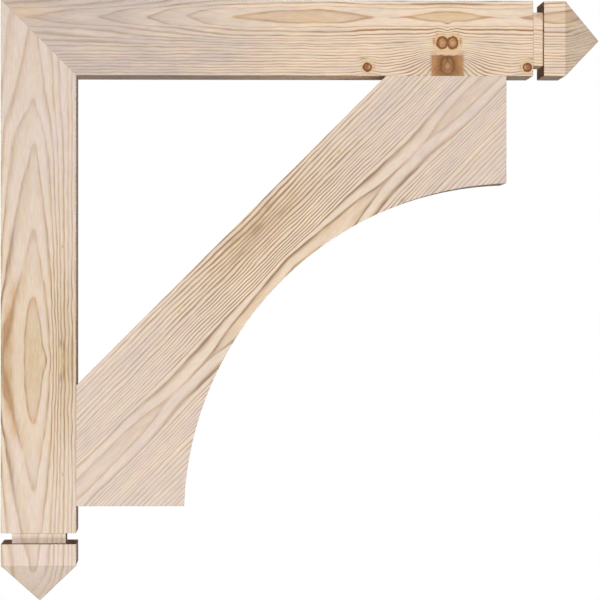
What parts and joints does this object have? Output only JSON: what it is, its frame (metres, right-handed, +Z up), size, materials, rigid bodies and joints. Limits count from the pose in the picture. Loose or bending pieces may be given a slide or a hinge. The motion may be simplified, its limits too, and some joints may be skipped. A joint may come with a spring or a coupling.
{
  "type": "wooden corbel bracket",
  "caption": "Wooden corbel bracket: a square wall leg and top arm, mitred together, with kerfed and pointed free ends, and a diagonal brace with a hollow arc below.",
  "frame": {"origin": "on the wall leg's back face, which bears on the wall, half way down its flat run and at the middle of its width", "axes": "+X from the wall towards the top arm's point, +Z up, Y across the thickness"},
  "size_m": [0.7112, 0.0888, 0.7112],
  "materials": {
    "leg_timber": "planed, unfinished flat-sawn softwood, grain up the leg",
    "arm_timber": "planed, unfinished flat-sawn softwood with small knots, grain along the arm",
    "brace_board": "planed, unfinished flat-sawn softwood, grain along the 45 degree diagonal, band-sawn and sanded arc"
  },
  "bodies": {
    "root": {"wall_leg": "leg_timber", "top_arm": "arm_timber", "curved_brace": "brace_board"}
  },
  "joints": []
}
